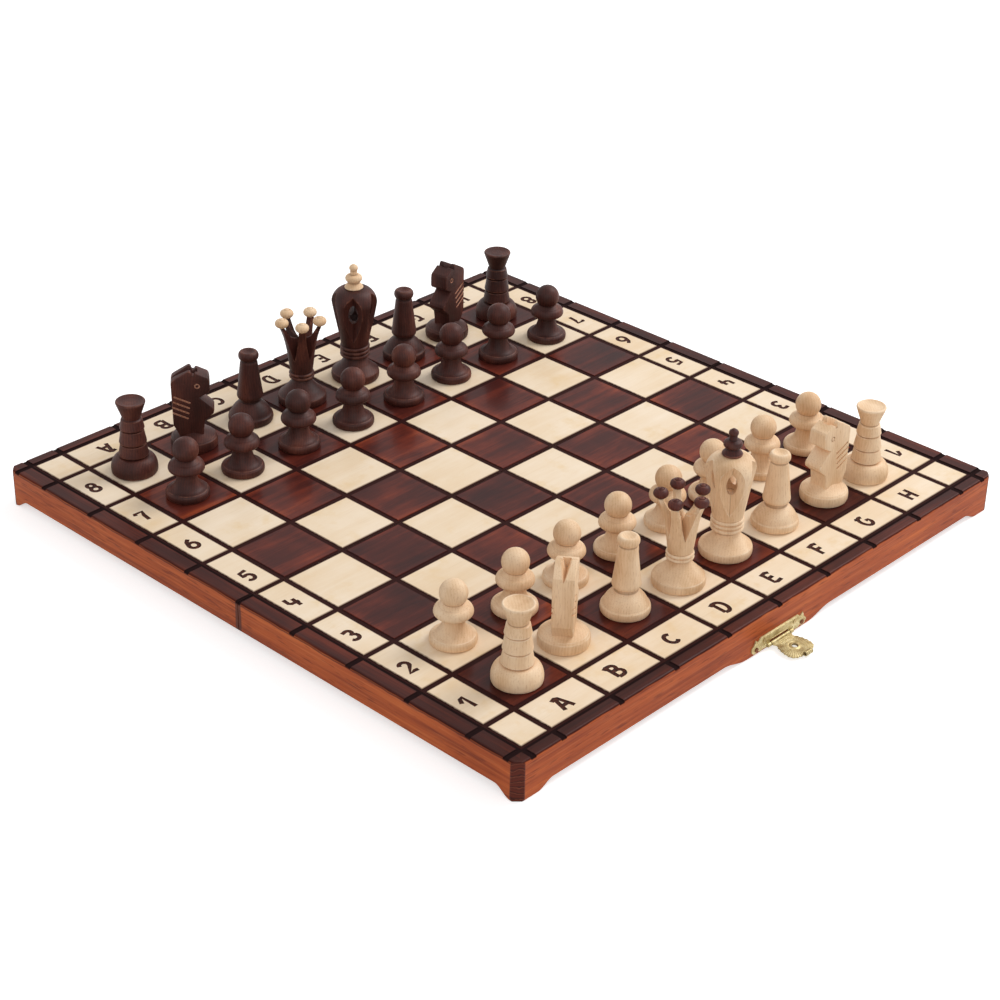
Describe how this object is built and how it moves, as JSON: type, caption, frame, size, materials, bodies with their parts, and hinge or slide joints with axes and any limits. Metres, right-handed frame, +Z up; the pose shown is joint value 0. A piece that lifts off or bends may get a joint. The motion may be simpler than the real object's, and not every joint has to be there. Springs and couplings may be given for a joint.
{
  "type": "folding chess box",
  "caption": "Wooden box of two shallow hinged halves that opens flat into a chessboard, with a brass hasp and turned chessmen standing on the board.",
  "frame": {"origin": "on the table, at the centre of the whole footprint: from the hasp's tip in front to the catch's stud at the back; the fold line is 7.16 mm behind it", "axes": "+Z up out of the playing face, +X along the fold from file A to file H, +Y from the clasp side (rank 1) to the catch side (rank 8)"},
  "size_m": [0.31, 0.331, 0.0766],
  "materials": {
    "playing_panel": "satin lacquer over stained and scorched wood",
    "stained_wall": "satin lacquer over mahogany stain",
    "plain_wood": "bare",
    "light_beech": "satin lacquer",
    "dark_walnut": "satin lacquer over dark stain",
    "brass": "pressed sheet"
  },
  "bodies": {
    "front_half": {"front_panel": "playing_panel", "front_wall": "stained_wall", "front_left_wall": "stained_wall", "front_right_wall": "stained_wall", "front_hinge_wall": "stained_wall", "front_divider": "plain_wood", "front_hinge_leaves": "brass", "front_hinge_nails": "brass", "hinge_pins": "brass", "clasp_plate": "brass", "clasp_pin": "brass", "clasp_nails": "brass"},
    "back_half": {"back_panel": "playing_panel", "back_wall": "stained_wall", "back_left_wall": "stained_wall", "back_right_wall": "stained_wall", "back_hinge_wall": "stained_wall", "back_divider": "plain_wood", "back_hinge_leaves": "brass", "back_hinge_nails": "brass", "catch_plate": "brass", "catch_nails": "brass"},
    "hasp": {"clasp_hasp": "brass"},
    "man_light_rook_a": {"light_rook_a": "light_beech"},
    "man_light_knight_b": {"light_knight_b": "light_beech"},
    "man_light_bishop_c": {"light_bishop_c": "light_beech"},
    "man_light_queen": {"light_queen": "light_beech", "light_queen_balls": "dark_walnut"},
    "man_light_king": {"light_king": "light_beech", "light_king_finial": "dark_walnut"},
    "man_light_bishop_f": {"light_bishop_f": "light_beech"},
    "man_light_knight_g": {"light_knight_g": "light_beech"},
    "man_light_rook_h": {"light_rook_h": "light_beech"},
    "man_light_pawn_a": {"light_pawn_a": "light_beech"},
    "man_light_pawn_b": {"light_pawn_b": "light_beech"},
    "man_light_pawn_c": {"light_pawn_c": "light_beech"},
    "man_light_pawn_d": {"light_pawn_d": "light_beech"},
    "man_light_pawn_e": {"light_pawn_e": "light_beech"},
    "man_light_pawn_f": {"light_pawn_f": "light_beech"},
    "man_light_pawn_g": {"light_pawn_g": "light_beech"},
    "man_light_pawn_h": {"light_pawn_h": "light_beech"},
    "man_dark_rook_a": {"dark_rook_a": "dark_walnut"},
    "man_dark_knight_b": {"dark_knight_b": "dark_walnut"},
    "man_dark_bishop_c": {"dark_bishop_c": "dark_walnut"},
    "man_dark_queen": {"dark_queen": "dark_walnut", "dark_queen_balls": "light_beech"},
    "man_dark_king": {"dark_king": "dark_walnut", "dark_king_finial": "light_beech"},
    "man_dark_bishop_f": {"dark_bishop_f": "dark_walnut"},
    "man_dark_knight_g": {"dark_knight_g": "dark_walnut"},
    "man_dark_rook_h": {"dark_rook_h": "dark_walnut"},
    "man_dark_pawn_a": {"dark_pawn_a": "dark_walnut"},
    "man_dark_pawn_b": {"dark_pawn_b": "dark_walnut"},
    "man_dark_pawn_c": {"dark_pawn_c": "dark_walnut"},
    "man_dark_pawn_d": {"dark_pawn_d": "dark_walnut"},
    "man_dark_pawn_e": {"dark_pawn_e": "dark_walnut"},
    "man_dark_pawn_f": {"dark_pawn_f": "dark_walnut"},
    "man_dark_pawn_g": {"dark_pawn_g": "dark_walnut"},
    "man_dark_pawn_h": {"dark_pawn_h": "dark_walnut"}
  },
  "joints": [
    {"name": "box_fold", "type": "hinge", "parent": "front_half", "child": "back_half", "pos_m": [0, 0.00716, 0.0018], "axis": [1, 0, 0], "range_deg": [-178.4, 0]},
    {"name": "clasp_swing", "type": "hinge", "parent": "front_half", "child": "hasp", "pos_m": [0, -0.14994, 0.0022], "axis": [-1, 0, 0], "range_deg": [-84, 70]},
    {"name": "lift_light_rook_a", "type": "slide", "parent": "front_half", "child": "man_light_rook_a", "axis": [0, 0, 1], "range_m": [0, 0.07]},
    {"name": "lift_light_knight_b", "type": "slide", "parent": "front_half", "child": "man_light_knight_b", "axis": [0, 0, 1], "range_m": [0, 0.07]},
    {"name": "lift_light_bishop_c", "type": "slide", "parent": "front_half", "child": "man_light_bishop_c", "axis": [0, 0, 1], "range_m": [0, 0.07]},
    {"name": "lift_light_queen", "type": "slide", "parent": "front_half", "child": "man_light_queen", "axis": [0, 0, 1], "range_m": [0, 0.07]},
    {"name": "lift_light_king", "type": "slide", "parent": "front_half", "child": "man_light_king", "axis": [0, 0, 1], "range_m": [0, 0.07]},
    {"name": "lift_light_bishop_f", "type": "slide", "parent": "front_half", "child": "man_light_bishop_f", "axis": [0, 0, 1], "range_m": [0, 0.07]},
    {"name": "lift_light_knight_g", "type": "slide", "parent": "front_half", "child": "man_light_knight_g", "axis": [0, 0, 1], "range_m": [0, 0.07]},
    {"name": "lift_light_rook_h", "type": "slide", "parent": "front_half", "child": "man_light_rook_h", "axis": [0, 0, 1], "range_m": [0, 0.07]},
    {"name": "lift_light_pawn_a", "type": "slide", "parent": "front_half", "child": "man_light_pawn_a", "axis": [0, 0, 1], "range_m": [0, 0.07]},
    {"name": "lift_light_pawn_b", "type": "slide", "parent": "front_half", "child": "man_light_pawn_b", "axis": [0, 0, 1], "range_m": [0, 0.07]},
    {"name": "lift_light_pawn_c", "type": "slide", "parent": "front_half", "child": "man_light_pawn_c", "axis": [0, 0, 1], "range_m": [0, 0.07]},
    {"name": "lift_light_pawn_d", "type": "slide", "parent": "front_half", "child": "man_light_pawn_d", "axis": [0, 0, 1], "range_m": [0, 0.07]},
    {"name": "lift_light_pawn_e", "type": "slide", "parent": "front_half", "child": "man_light_pawn_e", "axis": [0, 0, 1], "range_m": [0, 0.07]},
    {"name": "lift_light_pawn_f", "type": "slide", "parent": "front_half", "child": "man_light_pawn_f", "axis": [0, 0, 1], "range_m": [0, 0.07]},
    {"name": "lift_light_pawn_g", "type": "slide", "parent": "front_half", "child": "man_light_pawn_g", "axis": [0, 0, 1], "range_m": [0, 0.07]},
    {"name": "lift_light_pawn_h", "type": "slide", "parent": "front_half", "child": "man_light_pawn_h", "axis": [0, 0, 1], "range_m": [0, 0.07]},
    {"name": "lift_dark_rook_a", "type": "slide", "parent": "back_half", "child": "man_dark_rook_a", "axis": [0, 0, 1], "range_m": [0, 0.07]},
    {"name": "lift_dark_knight_b", "type": "slide", "parent": "back_half", "child": "man_dark_knight_b", "axis": [0, 0, 1], "range_m": [0, 0.07]},
    {"name": "lift_dark_bishop_c", "type": "slide", "parent": "back_half", "child": "man_dark_bishop_c", "axis": [0, 0, 1], "range_m": [0, 0.07]},
    {"name": "lift_dark_queen", "type": "slide", "parent": "back_half", "child": "man_dark_queen", "axis": [0, 0, 1], "range_m": [0, 0.07]},
    {"name": "lift_dark_king", "type": "slide", "parent": "back_half", "child": "man_dark_king", "axis": [0, 0, 1], "range_m": [0, 0.07]},
    {"name": "lift_dark_bishop_f", "type": "slide", "parent": "back_half", "child": "man_dark_bishop_f", "axis": [0, 0, 1], "range_m": [0, 0.07]},
    {"name": "lift_dark_knight_g", "type": "slide", "parent": "back_half", "child": "man_dark_knight_g", "axis": [0, 0, 1], "range_m": [0, 0.07]},
    {"name": "lift_dark_rook_h", "type": "slide", "parent": "back_half", "child": "man_dark_rook_h", "axis": [0, 0, 1], "range_m": [0, 0.07]},
    {"name": "lift_dark_pawn_a", "type": "slide", "parent": "back_half", "child": "man_dark_pawn_a", "axis": [0, 0, 1], "range_m": [0, 0.07]},
    {"name": "lift_dark_pawn_b", "type": "slide", "parent": "back_half", "child": "man_dark_pawn_b", "axis": [0, 0, 1], "range_m": [0, 0.07]},
    {"name": "lift_dark_pawn_c", "type": "slide", "parent": "back_half", "child": "man_dark_pawn_c", "axis": [0, 0, 1], "range_m": [0, 0.07]},
    {"name": "lift_dark_pawn_d", "type": "slide", "parent": "back_half", "child": "man_dark_pawn_d", "axis": [0, 0, 1], "range_m": [0, 0.07]},
    {"name": "lift_dark_pawn_e", "type": "slide", "parent": "back_half", "child": "man_dark_pawn_e", "axis": [0, 0, 1], "range_m": [0, 0.07]},
    {"name": "lift_dark_pawn_f", "type": "slide", "parent": "back_half", "child": "man_dark_pawn_f", "axis": [0, 0, 1], "range_m": [0, 0.07]},
    {"name": "lift_dark_pawn_g", "type": "slide", "parent": "back_half", "child": "man_dark_pawn_g", "axis": [0, 0, 1], "range_m": [0, 0.07]},
    {"name": "lift_dark_pawn_h", "type": "slide", "parent": "back_half", "child": "man_dark_pawn_h", "axis": [0, 0, 1], "range_m": [0, 0.07]}
  ]
}
